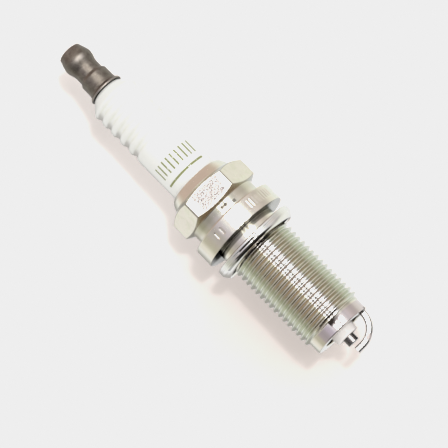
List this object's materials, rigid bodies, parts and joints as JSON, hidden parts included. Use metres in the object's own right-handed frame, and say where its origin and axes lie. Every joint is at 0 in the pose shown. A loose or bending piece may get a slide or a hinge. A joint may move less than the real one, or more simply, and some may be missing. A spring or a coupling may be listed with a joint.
{
  "type": "spark plug",
  "caption": "Long-reach spark plug: ribbed white ceramic, solid terminal, hexagon and flange, M14 thread, loose crush gasket, J-shaped ground strap.",
  "frame": {"origin": "on the plug's axis, level with the lowest point of the ground strap, so that the plug stands on z = 0. The seat plane, where the flange's flat underside meets the cylinder head, is at z = 0.032 m", "axes": "+Z along the plug's axis towards the terminal, -Z towards the firing end; +X towards the root of the ground strap; +Y and -Y normal to two opposite flats of the hexagon"},
  "size_m": [0.0188, 0.0188, 0.0825],
  "materials": {
    "terminal_steel": "dark warm-grey turned steel, dull satin",
    "glazed_alumina": "white alumina, gloss glaze above the shell, matt below",
    "plated_steel": "bright zinc-nickel plating with faint yellow and pink interference tint",
    "gasket_steel": "bright nickel-plated sheet",
    "strap_nickel": "bright drawn nickel alloy",
    "tip_nickel": "turned nickel alloy",
    "copper_core": "bare copper",
    "seal_glass": "dark metal-filled fused glass, dull",
    "carbon_glass": "black carbon-glass, matt",
    "washer_steel": "plain steel",
    "talc": "pressed off-white powder"
  },
  "bodies": {
    "plug": {"terminal_stud": "terminal_steel", "insulator": "glazed_alumina", "metal_shell": "plated_steel", "ground_electrode": "strap_nickel", "center_electrode": "tip_nickel", "center_electrode_copper_core": "copper_core", "upper_glass_seal": "seal_glass", "resistor": "carbon_glass", "lower_glass_seal": "seal_glass", "seat_packing": "washer_steel", "lower_ring_packing": "washer_steel", "talc_ring": "talc", "upper_ring_packing": "washer_steel"},
    "gasket": {"crush_gasket": "gasket_steel"}
  },
  "joints": [
    {"name": "gasket_slide", "type": "slide", "parent": "plug", "child": "gasket", "axis": [0, 0, 1], "range_m": [-0.0013, 0.0009]}
  ]
}
